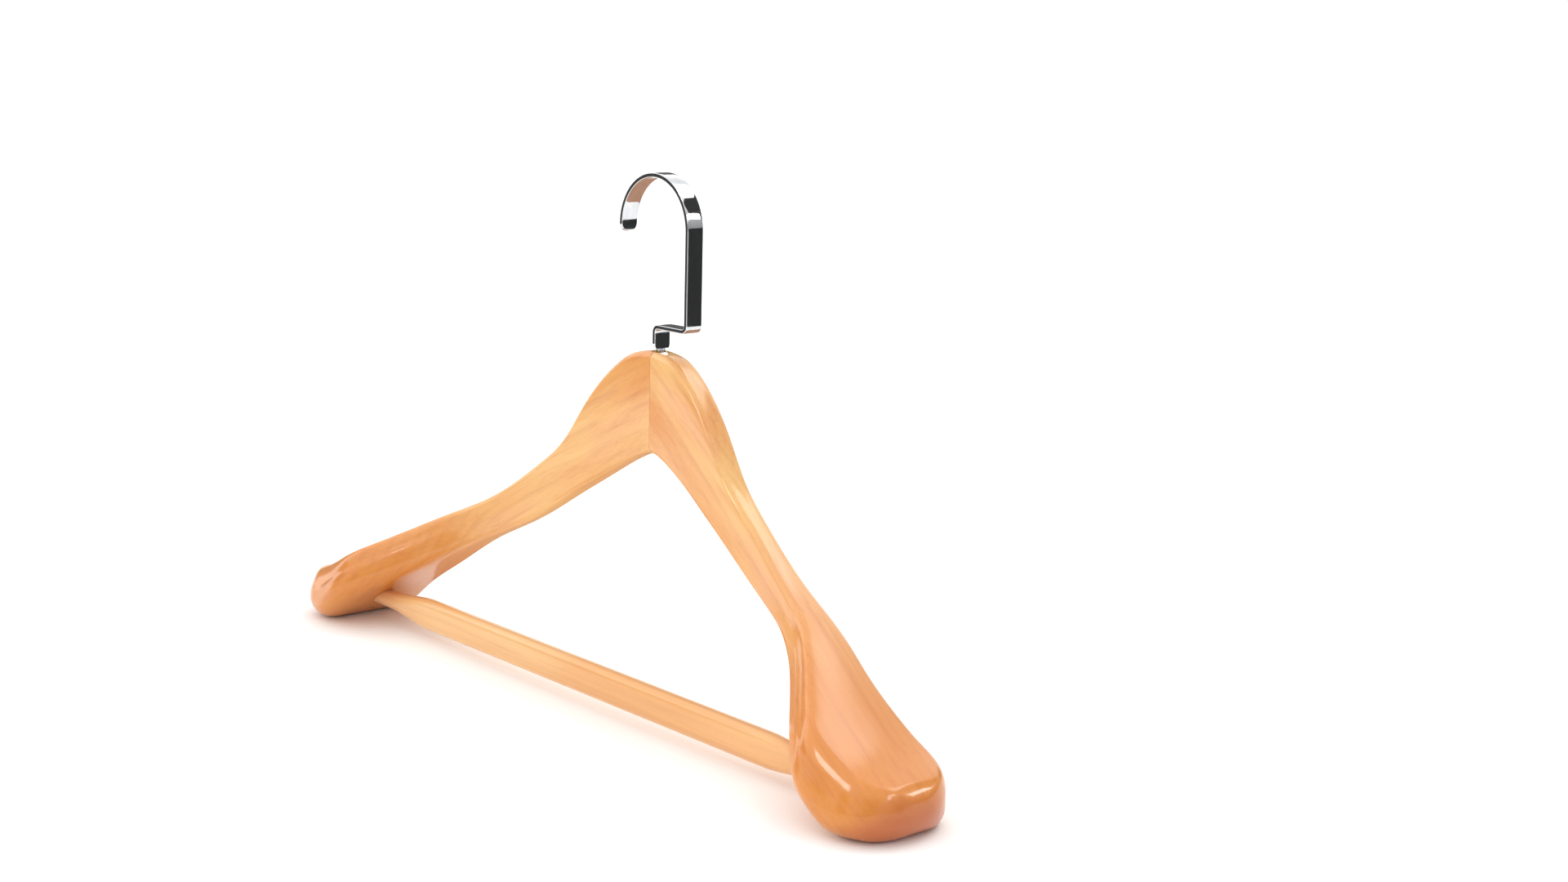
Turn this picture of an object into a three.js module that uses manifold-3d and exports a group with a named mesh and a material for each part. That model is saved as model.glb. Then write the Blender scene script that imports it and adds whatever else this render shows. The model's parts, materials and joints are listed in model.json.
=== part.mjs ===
// A wide-shoulder wooden suit hanger with a trouser bar and a flat swivelling hook.
// Millimetres. +X runs along the hanger, +Y points from the shoulder ends to the back of the
// head, +Z is up. The origin is the middle of the box around the hanger, on the surface that
// the two shoulder ends stand on.
import * as THREE from 'three';
import { mergeVertices } from 'three/addons/utils/BufferGeometryUtils.js';
import Module from 'manifold-3d';

const wasm = await Module();
wasm.setup();

// Overall shape of the two arms.
const HALF_LENGTH = 222.5;
const HEAD_Y = 33.2;
const HEAD_HALF_THICKNESS = 6.25;
const HEAD_TOP = 163;
const CLEARANCE = 0.3;
const EDGE_RADIUS = 3;
const LOW_BACK_RADIUS = [[0, 4], [204, 4], [214, 7], [HALF_LENGTH, 9]];
const LOW_FRONT_RADIUS = [[0, 3], [110, 3.5], [150, 7], [180, 11], [HALF_LENGTH, 14]];

// Round corners of the shoulder end, in plan and in height.
const BACK_CORNER = 24;
const FRONT_CORNER = 21;
const TOP_CORNER = 4;
const FOOT_CORNER = 12;

// Lines of one arm, each a smooth line through [distance from the middle, value].
// The plan lines are measured from the middle of the head's thickness.
const TOP_LINE = [
  [0, HEAD_TOP], [14, 161], [28, 152.5], [44, 136.5], [62, 112], [85, 94],
  [110, 77], [140, 62], [175, 42.5], [200, 29.3], [HALF_LENGTH, 22],
];
const UNDER_LINE = [
  [0, 115], [6, 113.3], [50, 89.5], [85, 68], [120, 50.5], [150, 31.5],
  [173, 16.5], [187, 5.5], [197, 0], [HALF_LENGTH, 0],
];
const FRONT_LINE = [
  [0, -HEAD_HALF_THICKNESS], [25, -7.8], [50, -10.6], [85, -14.5], [110, -19.7], [125, -23.7],
  [145, -36.7], [165, -54], [180, -65.3], [194, -66.5], [HALF_LENGTH, -67],
];
const BACK_LINE = [
  [0, HEAD_HALF_THICKNESS], [25, 5], [50, 2.6], [85, -2.8], [110, -6], [145, -10.5],
  [165, -14], [185, -15.6], [HALF_LENGTH, -16],
];
const FRONT_FLARE = [[0, 0], [105, 0], [130, 7], [160, 11.5], [190, 9.8], [205, 7], [HALF_LENGTH, 1.5]];
const CROWN = [[0, 0.6], [120, 0.6], [170, 2.2], [205, 2.2], [HALF_LENGTH, 0.8]];

// Trouser bar.
const BAR_Y = HEAD_Y - 43;
const BAR_Z = 13.1;
const BAR_HEIGHT = 15.4;
const BAR_THICKNESS = 9;
const BAR_EDGE_RADIUS = 3.5;
const BAR_END_RADIUS = 4.5;
const BAR_HALF_LENGTH = 195;
const TAPER_START = 130;
const TAPER_END = 168;

// Brad that pins each bar end into its shoulder.
const BRAD_X = 190;
const BRAD_RADIUS = 0.8;
const BRAD_HEAD_RADIUS = 1.6;
const BRAD_HEAD_HEIGHT = 0.9;
const BRAD_BOTTOM = 4.2;
const BRAD_TOP = 23;

// Hook: a flat band bent in the XZ plane.
const BAND_WIDTH = 9;
const BAND_THICKNESS = 2;
const BAND_FOOT = HEAD_TOP + 0.9;
const JOG_HEIGHT = 174.2;
const JOG_LENGTH = 23;
const JOG_BEND = 2.6;
const ARCH_RADIUS = 24.5;
const ARCH_CENTRE_Z = 219.5;
const ARCH_SWEEP = THREE.MathUtils.degToRad(188);
const TANG_WIDTH = 3.4;
const TANG_DEPTH = 4.2;

// Swivel: a headed stud that turns in a sleeve set into the head.
const STUD_RADIUS = 2.2;
const STUD_HEAD_RADIUS = 3.2;
const STUD_BOTTOM = 134.5;
const STUD_HEAD_HEIGHT = 2;
const SLEEVE_RADIUS = 4.3;
const SLEEVE_TOP = 162.2;
const SLEEVE_BOTTOM = 133.4;
const WASHER_THICKNESS = 0.8;

// Loose tenon that ties the two arms together under the sleeve.
const TENON_HALF_LENGTH = 14;
const TENON_THICKNESS = 4.4;
const TENON_HEIGHT = 11;
const TENON_Z = 124.5;

const ROUND_STEPS = 24;

const COLOURS = { wood: 0xe8a868, pale: 0xd9b07c, chrome: 0xc8ccd0, brass: 0xc9a45a, steel: 0x9a9da2 };

function wood(colour = COLOURS.wood) {
  return new THREE.MeshStandardMaterial({ color: colour, roughness: 0.35, metalness: 0 });
}

function metal(colour, roughness) {
  return new THREE.MeshStandardMaterial({ color: colour, roughness, metalness: 1 });
}

// ---- lines and sections --------------------------------------------------------------------

// Slope of the line at its point i, flattened where the line turns so that it never overshoots.
function slopeAt(line, i) {
  const rise = (k) => (line[k + 1][1] - line[k][1]) / (line[k + 1][0] - line[k][0]);
  if (i === 0) return rise(0);
  if (i === line.length - 1) return rise(i - 1);
  const before = rise(i - 1);
  const after = rise(i);
  return before * after <= 0 ? 0 : (2 * before * after) / (before + after);
}

// Height of the smooth line at x.
function smooth(line, x) {
  let i = 0;
  while (i < line.length - 2 && x > line[i + 1][0]) i += 1;
  const [x0, y0] = line[i];
  const [x1, y1] = line[i + 1];
  const span = x1 - x0;
  const t = (x - x0) / span;
  const bend = t * t * (3 - 2 * t);
  const lead = t * (1 - t) * (1 - t) * span * slopeAt(line, i);
  const trail = t * t * (1 - t) * span * slopeAt(line, i + 1);
  return y0 + (y1 - y0) * bend + lead - trail;
}

// How far a round corner of this radius has pulled in at x, when it ends at the arm's tip.
function cornerInset(x, radius) {
  const along = Math.max(0, x - (HALF_LENGTH - radius));
  return radius - Math.sqrt(Math.max(0, radius * radius - along * along));
}

// Points of a rounded rectangle from -1 to 1 each way, with a middle point along the top. The
// radii are those of its top right, top left, low left and low right corners.
function roundedSquare(radii, halfAcross, halfUp, steps) {
  const points = [];
  const mostOfASide = 0.96;
  for (let corner = 0; corner < 4; corner += 1) {
    const sx = corner === 0 || corner === 3 ? 1 : -1;
    const sy = corner < 2 ? 1 : -1;
    const shareAcross = Math.min(mostOfASide, radii[corner] / halfAcross);
    const shareUp = Math.min(mostOfASide, radii[corner] / halfUp);
    for (let k = 0; k <= steps; k += 1) {
      const angle = (corner + k / steps) * (Math.PI / 2);
      const across = sx * (1 - shareAcross) + shareAcross * Math.cos(angle);
      const up = sy * (1 - shareUp) + shareUp * Math.sin(angle);
      points.push([across, up]);
    }
    if (corner === 0) points.push([0, 1]);
  }
  return points;
}

// Section of an arm at x, as points in the YZ plane, measured from the middle of the head.
function armSection(x) {
  const top = smooth(TOP_LINE, x) - cornerInset(x, TOP_CORNER);
  const under = smooth(UNDER_LINE, x) + cornerInset(x, FOOT_CORNER);
  const front = smooth(FRONT_LINE, x) + cornerInset(x, FRONT_CORNER);
  const back = smooth(BACK_LINE, x) - cornerInset(x, BACK_CORNER);
  const flare = smooth(FRONT_FLARE, x);
  const crown = smooth(CROWN, x);
  const halfUp = (top - under) / 2;
  const halfAcross = (back - front) / 2;
  const radii = [EDGE_RADIUS, EDGE_RADIUS, smooth(LOW_FRONT_RADIUS, x), smooth(LOW_BACK_RADIUS, x)];
  return roundedSquare(radii, halfAcross, halfUp, 4).map(([across, up]) => {
    const low = (1 - up) / 2;
    const spread = across < 0 ? flare * low * -across : 0;
    const lift = up > 0 ? crown * (1 - across * across) - crown : 0;
    return [front + halfAcross * (1 + across) - spread, under + halfUp * (1 + up) + lift];
  });
}

// Closed body through equal rings of [x, y, z] points, with a flat cap at each end.
function loft(rings) {
  const count = rings[0].length;
  const positions = [];
  const index = [];
  rings.forEach((ring) => ring.forEach((point) => positions.push(...point)));
  for (let r = 0; r < rings.length - 1; r += 1) {
    for (let k = 0; k < count; k += 1) {
      const a = r * count + k;
      const b = r * count + ((k + 1) % count);
      index.push(a, b, a + count, b, b + count, a + count);
    }
  }
  [0, rings.length - 1].forEach((r, side) => {
    const middle = positions.length / 3;
    const ring = rings[r];
    [0, 1, 2].forEach((axis) => positions.push(ring.reduce((sum, point) => sum + point[axis], 0) / count));
    for (let k = 0; k < count; k += 1) {
      const a = r * count + k;
      const b = r * count + ((k + 1) % count);
      index.push(...(side === 0 ? [middle, b, a] : [middle, a, b]));
    }
  });
  const geometry = new THREE.BufferGeometry();
  geometry.setAttribute('position', new THREE.Float32BufferAttribute(positions, 3));
  geometry.setIndex(index);
  return geometry;
}

// ---- joining and cutting -------------------------------------------------------------------

function solid(geometry) {
  const bare = geometry.clone();
  bare.deleteAttribute('normal');
  bare.deleteAttribute('uv');
  const merged = mergeVertices(bare, 1e-4);
  const vertProperties = new Float32Array(merged.attributes.position.array);
  const triVerts = new Uint32Array(merged.index.array);
  return new wasm.Manifold(new wasm.Mesh({ numProp: 3, vertProperties, triVerts }));
}

function surface(body) {
  const mesh = body.getMesh();
  const geometry = new THREE.BufferGeometry();
  geometry.setAttribute('position', new THREE.BufferAttribute(mesh.vertProperties, 3));
  geometry.setIndex(new THREE.BufferAttribute(mesh.triVerts, 1));
  return geometry;
}

function cut(geometry, tools) {
  return surface(tools.reduce((body, tool) => body.subtract(solid(tool)), solid(geometry)));
}

// Body turned about the Z axis at the given place, from a closed [radius, z] outline.
function turned(outline, x = 0, y = 0) {
  const points = outline.map(([radius, z]) => new THREE.Vector2(radius, z));
  return new THREE.LatheGeometry(points, ROUND_STEPS).rotateX(Math.PI / 2).translate(x, y, 0);
}

function box(sizeX, sizeY, sizeZ, x, y, z) {
  return new THREE.BoxGeometry(sizeX, sizeY, sizeZ).translate(x, y, z);
}

// ---- wood ----------------------------------------------------------------------------------

// Stadium-shaped bar along X that fills the mortise, or with extra = 0 the tenon itself.
function tenonGeometry(extra) {
  const radius = TENON_THICKNESS / 2 + extra;
  const straight = (TENON_HEIGHT - TENON_THICKNESS) / 2;
  const outline = new THREE.Shape();
  outline.absarc(0, straight, radius, 0, Math.PI, false);
  outline.absarc(0, -straight, radius, Math.PI, 2 * Math.PI, false);
  outline.closePath();
  const length = 2 * (TENON_HALF_LENGTH + extra);
  return new THREE.ExtrudeGeometry(outline, { depth: length, bevelEnabled: false, curveSegments: 6 })
    .translate(0, 0, -length / 2)
    .rotateX(Math.PI / 2)
    .rotateZ(Math.PI / 2)
    .translate(0, HEAD_Y, TENON_Z);
}

function barEndBore() {
  const length = 60;
  const radius = BAR_END_RADIUS + CLEARANCE;
  const bore = new THREE.CylinderGeometry(radius, radius, length, ROUND_STEPS);
  const end = BAR_HALF_LENGTH + CLEARANCE;
  return bore.rotateZ(Math.PI / 2).translate(end - length / 2, BAR_Y, BAR_Z);
}

function bradHole() {
  const shank = BRAD_RADIUS + CLEARANCE;
  const head = BRAD_HEAD_RADIUS + CLEARANCE;
  const shoulder = BRAD_BOTTOM + BRAD_HEAD_HEIGHT + CLEARANCE;
  const outline = [[0, -10], [head, -10], [head, shoulder], [shank, shoulder],
    [shank, BRAD_TOP + CLEARANCE], [0, BRAD_TOP + CLEARANCE]];
  return turned(outline, BRAD_X, BAR_Y);
}

// Right-hand arm: a plain run of sections, then closer ones round the shoulder's end.
function rightArmGeometry() {
  const rings = [];
  const bluntStart = HALF_LENGTH - BACK_CORNER;
  const plainSteps = 26;
  const endSteps = 9;
  const ringAt = (x) => armSection(x).map(([y, z]) => [x, y + HEAD_Y, z]);
  for (let k = 0; k < plainSteps; k += 1) {
    rings.push(ringAt(CLEARANCE / 2 + ((bluntStart - CLEARANCE / 2) * k) / plainSteps));
  }
  for (let k = 0; k <= endSteps; k += 1) {
    rings.push(ringAt(bluntStart + BACK_CORNER * Math.sin((k / endSteps) * (Math.PI / 2))));
  }
  const sleeveBore = SLEEVE_RADIUS + CLEARANCE;
  const boreBottom = SLEEVE_BOTTOM - CLEARANCE;
  const boreTop = HEAD_TOP + 10;
  const bore = turned([[0, boreBottom], [sleeveBore, boreBottom], [sleeveBore, boreTop], [0, boreTop]], 0, HEAD_Y);
  return cut(loft(rings), [bore, tenonGeometry(CLEARANCE), barEndBore(), bradHole()]);
}

function mirrored(geometry) {
  const copy = geometry.clone().scale(-1, 1, 1);
  const flipped = [...copy.index.array];
  for (let k = 0; k < flipped.length; k += 3) {
    [flipped[k], flipped[k + 1]] = [flipped[k + 1], flipped[k]];
  }
  copy.setIndex(flipped);
  return copy;
}

// Section of the trouser bar at x: flat-sided in the middle, round at the ends.
function barSection(x) {
  const t = THREE.MathUtils.smoothstep(Math.abs(x), TAPER_START, TAPER_END);
  const halfUp = THREE.MathUtils.lerp(BAR_HEIGHT / 2, BAR_END_RADIUS, t);
  const halfAcross = THREE.MathUtils.lerp(BAR_THICKNESS / 2, BAR_END_RADIUS, t);
  const radius = THREE.MathUtils.lerp(BAR_EDGE_RADIUS, BAR_END_RADIUS, t);
  const square = roundedSquare([radius, radius, radius, radius], halfAcross, halfUp, 5);
  return square.map(([across, up]) => [x, BAR_Y + halfAcross * across, BAR_Z + halfUp * up]);
}

function trouserBarGeometry() {
  const taperSteps = 6;
  const right = [0];
  for (let k = 0; k <= taperSteps; k += 1) {
    right.push(TAPER_START + ((TAPER_END - TAPER_START) * k) / taperSteps);
  }
  right.push(BAR_HALF_LENGTH);
  const left = right.slice(1).reverse().map((x) => -x);
  const bar = loft([...left, ...right].map(barSection));
  const radius = BRAD_RADIUS + CLEARANCE;
  const holeFor = (side) => turned([[0, 0], [radius, 0], [radius, 40], [0, 40]], side * BRAD_X, BAR_Y);
  return cut(bar, [holeFor(-1), holeFor(1)]);
}

// ---- fittings ------------------------------------------------------------------------------

function bradGeometry(side) {
  const neck = BRAD_BOTTOM + BRAD_HEAD_HEIGHT;
  const outline = [[0, BRAD_BOTTOM], [BRAD_HEAD_RADIUS, BRAD_BOTTOM], [BRAD_HEAD_RADIUS, neck],
    [BRAD_RADIUS, neck], [BRAD_RADIUS, BRAD_TOP - 2], [0, BRAD_TOP]];
  return turned(outline, side * BRAD_X, BAR_Y);
}

function studGeometry() {
  const neck = STUD_BOTTOM + STUD_HEAD_HEIGHT;
  const top = BAND_FOOT - CLEARANCE;
  const stud = turned([[0, STUD_BOTTOM], [STUD_HEAD_RADIUS, STUD_BOTTOM], [STUD_HEAD_RADIUS, neck],
    [STUD_RADIUS, neck], [STUD_RADIUS, top], [0, top]], 0, HEAD_Y);
  const slotBottom = BAND_FOOT - TANG_DEPTH - CLEARANCE;
  const slotHeight = 10;
  const slotWidth = BAND_THICKNESS + 2 * CLEARANCE;
  return cut(stud, [box(slotWidth, 4 * STUD_RADIUS, slotHeight, 0, HEAD_Y, slotBottom + slotHeight / 2)]);
}

function washerGeometry() {
  const low = STUD_BOTTOM + STUD_HEAD_HEIGHT + CLEARANCE;
  const high = low + WASHER_THICKNESS;
  const inner = STUD_RADIUS + CLEARANCE;
  return turned([[inner, low], [STUD_HEAD_RADIUS, low], [STUD_HEAD_RADIUS, high], [inner, high], [inner, low]],
    0, HEAD_Y);
}

function sleeveGeometry() {
  const shoulder = STUD_BOTTOM + STUD_HEAD_HEIGHT + WASHER_THICKNESS + 2 * CLEARANCE;
  const inner = STUD_RADIUS + CLEARANCE;
  const pocket = STUD_HEAD_RADIUS + CLEARANCE;
  return turned([[pocket, SLEEVE_BOTTOM], [SLEEVE_RADIUS, SLEEVE_BOTTOM], [SLEEVE_RADIUS, SLEEVE_TOP],
    [inner, SLEEVE_TOP], [inner, shoulder], [pocket, shoulder], [pocket, SLEEVE_BOTTOM]], 0, HEAD_Y);
}

// Middle line of the band: up the stem, across the jog, up the side and over the arch.
function bandPath() {
  const path = new THREE.Path();
  const archStart = JOG_LENGTH - ARCH_RADIUS;
  path.moveTo(0, BAND_FOOT);
  path.lineTo(0, JOG_HEIGHT - JOG_BEND);
  path.absarc(JOG_BEND, JOG_HEIGHT - JOG_BEND, JOG_BEND, Math.PI, Math.PI / 2, true);
  path.lineTo(JOG_LENGTH - JOG_BEND, JOG_HEIGHT);
  path.absarc(JOG_LENGTH - JOG_BEND, JOG_HEIGHT + JOG_BEND, JOG_BEND, -Math.PI / 2, 0, false);
  path.lineTo(JOG_LENGTH, ARCH_CENTRE_Z);
  path.absarc(archStart, ARCH_CENTRE_Z, ARCH_RADIUS, 0, ARCH_SWEEP, false);
  return path;
}

// The band's edge on one side of its middle line.
function offsetLine(points, distance) {
  return points.map((point, i) => {
    const before = points[Math.max(0, i - 1)];
    const after = points[Math.min(points.length - 1, i + 1)];
    const along = after.clone().sub(before).normalize();
    return new THREE.Vector2(point.x - along.y * distance, point.y + along.x * distance);
  });
}

function bandGeometry() {
  const raw = bandPath().getPoints(14);
  const points = raw.filter((point, i) => i === 0 || point.distanceTo(raw[i - 1]) > 0.01);
  const left = offsetLine(points, BAND_THICKNESS / 2);
  const right = offsetLine(points, -BAND_THICKNESS / 2).reverse();
  const band = new THREE.ExtrudeGeometry(new THREE.Shape([...left, ...right]), {
    depth: BAND_WIDTH, bevelEnabled: false,
  }).translate(0, 0, -BAND_WIDTH / 2).rotateX(Math.PI / 2).translate(0, HEAD_Y, 0);
  const overlap = 0.5;
  const tang = box(BAND_THICKNESS, TANG_WIDTH, TANG_DEPTH + overlap, 0, HEAD_Y,
    BAND_FOOT - (TANG_DEPTH - overlap) / 2);
  return surface(solid(band).add(solid(tang)));
}

// ---- assembly ------------------------------------------------------------------------------

function part(name, geometry, material) {
  const mesh = new THREE.Mesh(geometry, material);
  mesh.name = name;
  return mesh;
}

const hanger = new THREE.Group();
const rightArm = rightArmGeometry();
hanger.add(part('right_arm', rightArm, wood()));
hanger.add(part('left_arm', mirrored(rightArm), wood()));
hanger.add(part('loose_tenon', tenonGeometry(0), wood(COLOURS.pale)));
hanger.add(part('trouser_bar', trouserBarGeometry(), wood()));
hanger.add(part('bar_brad_right', bradGeometry(1), metal(COLOURS.steel, 0.4)));
hanger.add(part('bar_brad_left', bradGeometry(-1), metal(COLOURS.steel, 0.4)));
hanger.add(part('swivel_sleeve', sleeveGeometry(), metal(COLOURS.brass, 0.3)));
hanger.add(part('thrust_washer', washerGeometry(), metal(COLOURS.steel, 0.3)));

const hook = new THREE.Group();
hook.add(part('swivel_stud', studGeometry(), metal(COLOURS.steel, 0.3)));
hook.add(part('hook_band', bandGeometry(), metal(COLOURS.chrome, 0.08)));
hanger.add(hook);

export default hanger;
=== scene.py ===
"""The finished look of a wide-shoulder wooden suit hanger with a flat swivelling hook.

The model that is loaded sets where everything is. The fine pieces made here stand for its faceted
ones. Shapes are worked out in millimetres, in that model's frame, and become metres as meshes.
"""

import json
import math

import bpy
import numpy as np
from mathutils import Matrix, Vector


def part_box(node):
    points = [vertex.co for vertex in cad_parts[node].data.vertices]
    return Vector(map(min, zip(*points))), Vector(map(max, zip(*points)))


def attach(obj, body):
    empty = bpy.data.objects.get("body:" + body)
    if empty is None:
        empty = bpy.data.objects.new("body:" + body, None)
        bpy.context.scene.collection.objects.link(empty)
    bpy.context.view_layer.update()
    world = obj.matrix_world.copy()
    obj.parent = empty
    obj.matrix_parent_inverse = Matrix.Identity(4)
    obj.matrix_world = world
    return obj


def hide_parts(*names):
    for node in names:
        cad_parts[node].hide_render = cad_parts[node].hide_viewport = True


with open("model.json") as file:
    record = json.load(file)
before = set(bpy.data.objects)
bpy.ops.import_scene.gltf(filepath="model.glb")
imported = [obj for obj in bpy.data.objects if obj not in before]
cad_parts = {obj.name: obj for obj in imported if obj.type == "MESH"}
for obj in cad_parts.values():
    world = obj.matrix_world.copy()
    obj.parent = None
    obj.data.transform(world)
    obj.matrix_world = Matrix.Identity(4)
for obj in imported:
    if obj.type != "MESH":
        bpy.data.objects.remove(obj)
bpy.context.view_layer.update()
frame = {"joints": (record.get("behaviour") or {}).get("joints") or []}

MM = 0.001


def box_mm(name):
    """Lowest and highest corner of a CAD node, in millimetres."""
    low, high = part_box(name)
    return np.array(low) / MM, np.array(high) / MM


# ---- sizes read from the frame --------------------------------------------------------------

HALF_LENGTH = box_mm("right_arm")[1][0]
BAR_LOW, BAR_HIGH = box_mm("trouser_bar")
BAND_LOW, BAND_HIGH = box_mm("hook_band")
STUD_LOW, STUD_HIGH = box_mm("swivel_stud")
SLEEVE_LOW, SLEEVE_HIGH = box_mm("swivel_sleeve")
WASHER_LOW, WASHER_HIGH = box_mm("thrust_washer")
TENON_LOW, TENON_HIGH = box_mm("loose_tenon")
BRAD_LOW, BRAD_HIGH = box_mm("bar_brad_right")

SWIVEL = np.array(frame["joints"][0]["pos_m"]) / MM
HEAD_Y = SWIVEL[1]
HEAD_TOP = SWIVEL[2]
BAR_MIDDLE = (BAR_LOW + BAR_HIGH) / 2
BRAD_MIDDLE = (BRAD_LOW + BRAD_HIGH) / 2

# ---- fits -----------------------------------------------------------------------------------

SEAM_GAP = 0.05
FIT = 0.05
WASHER_PLAY = 0.3
CUT_PAST = 5

# ---- shape of one arm -----------------------------------------------------------------------
# Each line gives a height, place or radius at distances from the middle of the hanger.

EDGE_RADIUS = [(0, 3), (130, 3), (175, 4.5), (HALF_LENGTH, 5.5)]
EDGE_DEPTH = [(0, 3), (130, 3), (175, 7), (HALF_LENGTH, 9)]
LOW_BACK_RADIUS = [(0, 4), (204, 4), (214, 7), (HALF_LENGTH, 9)]
LOW_FRONT_RADIUS = [(0, 3), (110, 3.5), (150, 7), (180, 11), (HALF_LENGTH, 14)]
BACK_CORNER = 24
FRONT_CORNER = 21
TOP_CORNER = 6
TOP_CORNER_DEPTH = 8
FOOT_CORNER = 12
MOST_ROUND = 0.96
TOP_LINE = [
    (0, HEAD_TOP), (14, 161), (28, 152.5), (44, 136.5), (62, 112), (85, 94),
    (110, 77), (140, 62), (175, 42.5), (200, 29.3), (HALF_LENGTH, 22),
]
UNDER_LINE = [
    (0, 115), (6, 113.3), (50, 89.5), (85, 68), (120, 50.5), (150, 31.5),
    (173, 16.5), (187, 5.5), (197, 0), (HALF_LENGTH, 0),
]
FRONT_LINE = [
    (0, -6.25), (25, -7.8), (50, -10.6), (85, -14.5), (110, -19.7), (125, -23.7),
    (145, -36.7), (165, -54), (180, -65.3), (194, -66.5), (HALF_LENGTH, -67),
]
BACK_LINE = [
    (0, 6.25), (25, 5), (50, 2.6), (85, -2.8), (110, -6), (145, -10.5),
    (165, -14), (185, -15.6), (HALF_LENGTH, -16),
]
FRONT_FLARE = [(0, 0), (105, 0), (130, 7), (160, 11.5), (190, 9.8), (205, 7), (HALF_LENGTH, 1.5)]
CROWN = [(0, 0.6), (120, 0.6), (170, 2.2), (205, 2.2), (HALF_LENGTH, 0.8)]

# ---- shape of the bar, the hook and the fastenings ------------------------------------------

BAR_EDGE_RADIUS = 3.5
BAR_END_RADIUS = 4.5
BAR_END_EASE = 0.8
BAR_BORE_START = 100
TAPER_START = 130
TAPER_END = 168
BAND_THICKNESS = 2
BAND_EDGE_RADIUS = 0.3
BAND_TIP_RADIUS = 4
JOG_HEIGHT = HEAD_TOP + 11.2
JOG_BEND = 2.6
ARCH_RADIUS = 24.5
ARCH_SWEEP = math.radians(188)
TANG_WIDTH = 3.4
TANG_DEPTH = 4.2
STUD_RADIUS = 2.2
STUD_HEAD_HEIGHT = 2
SWIVEL_BORE_RADIUS = 2.5
TENON_CHAMFER = 0.5
BRAD_SHANK_RADIUS = 0.8
BRAD_HEAD_HEIGHT = 0.9


# ---- lines and sections ---------------------------------------------------------------------

def slopes(line):
    """Slope at each point of a line, flat where it turns, so that the curve never overshoots."""
    rises = [(end[1] - start[1]) / (end[0] - start[0]) for start, end in zip(line, line[1:])]
    inner = []
    for before, after in zip(rises, rises[1:]):
        turns_back = before * after <= 0
        inner.append(0 if turns_back else 2 * before * after / (before + after))
    return [rises[0]] + inner + [rises[-1]]


def eased_step(share):
    """Share of a step from 0 to 1, level at both ends."""
    return share * share * (3 - 2 * share)


def curve_through(line, xs):
    """Heights at xs of the cubic curve through the line's points, straight on past the last."""
    places = np.array([point[0] for point in line], float)
    heights = np.array([point[1] for point in line], float)
    slope = np.array(slopes(line))
    start = np.clip(np.searchsorted(places, xs, side="right") - 1, 0, len(places) - 2)
    end = start + 1
    span = places[end] - places[start]
    share = np.minimum((xs - places[start]) / span, 1)
    bend = eased_step(share)
    lead = share * (1 - share) ** 2 * span * slope[start]
    trail = share * share * (1 - share) * span * slope[end]
    beyond = np.maximum(xs - places[-1], 0) * slope[-1]
    return heights[start] + (heights[end] - heights[start]) * bend + lead - trail + beyond


def fair(line, spread=4.0):
    """The line as a function of x, with its bends blended over a few millimetres.
    It is mirrored about the middle of the hanger, so that it crosses the seam smoothly."""
    step = 0.5
    reach = 4 * spread
    xs = np.arange(-reach, HALF_LENGTH + reach + step, step)
    values = curve_through(line, np.abs(xs))
    offsets = np.arange(-reach, reach + step, step)
    weights = np.exp(-0.5 * (offsets / spread) ** 2)
    padded = np.pad(values, len(offsets) // 2, mode="edge")
    blended = np.convolve(padded, weights / weights.sum(), mode="valid")
    return lambda x: float(np.interp(x, xs, blended))


def corner_inset(x, radius):
    """How far a round corner at the arm's tip has pulled in at x."""
    along = max(0.0, x - (HALF_LENGTH - radius))
    return radius - math.sqrt(max(0.0, radius * radius - along * along))


def rounded_square(radii, half_across, half_up, arc_steps=8, side_steps=7, depths=None):
    """Points from -1 to 1 each way round a rounded rectangle, from the top right corner on.
    With depths, the corners are quarter ellipses that reach that far up or down."""
    depths = depths or radii
    points = []
    for corner in range(4):
        side_across = 1 if corner in (0, 3) else -1
        side_up = 1 if corner < 2 else -1
        share_across = min(MOST_ROUND, radii[corner] / half_across)
        share_up = min(MOST_ROUND, depths[corner] / half_up)
        for k in range(arc_steps + 1):
            angle = (corner + k / arc_steps) * math.pi / 2
            across = side_across * (1 - share_across) + share_across * math.cos(angle)
            up = side_up * (1 - share_up) + share_up * math.sin(angle)
            points.append((across, up))
    run = arc_steps + 1
    filled = []
    for corner in range(4):
        arc = points[corner * run:(corner + 1) * run]
        start = arc[-1]
        end = points[(corner + 1) * run % len(points)]
        filled += arc
        for k in range(1, side_steps + 1):
            share = k / (side_steps + 1)
            across = start[0] + (end[0] - start[0]) * share
            up = start[1] + (end[1] - start[1]) * share
            filled.append((across, up))
    return filled


top_line = fair(TOP_LINE)
under_line = fair(UNDER_LINE, 3.0)
front_line = fair(FRONT_LINE)
back_line = fair(BACK_LINE)
flare_line = fair(FRONT_FLARE)
crown_line = fair(CROWN)
low_front_line = fair(LOW_FRONT_RADIUS)
low_back_line = fair(LOW_BACK_RADIUS)
edge_line = fair(EDGE_RADIUS)
edge_depth_line = fair(EDGE_DEPTH)


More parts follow.
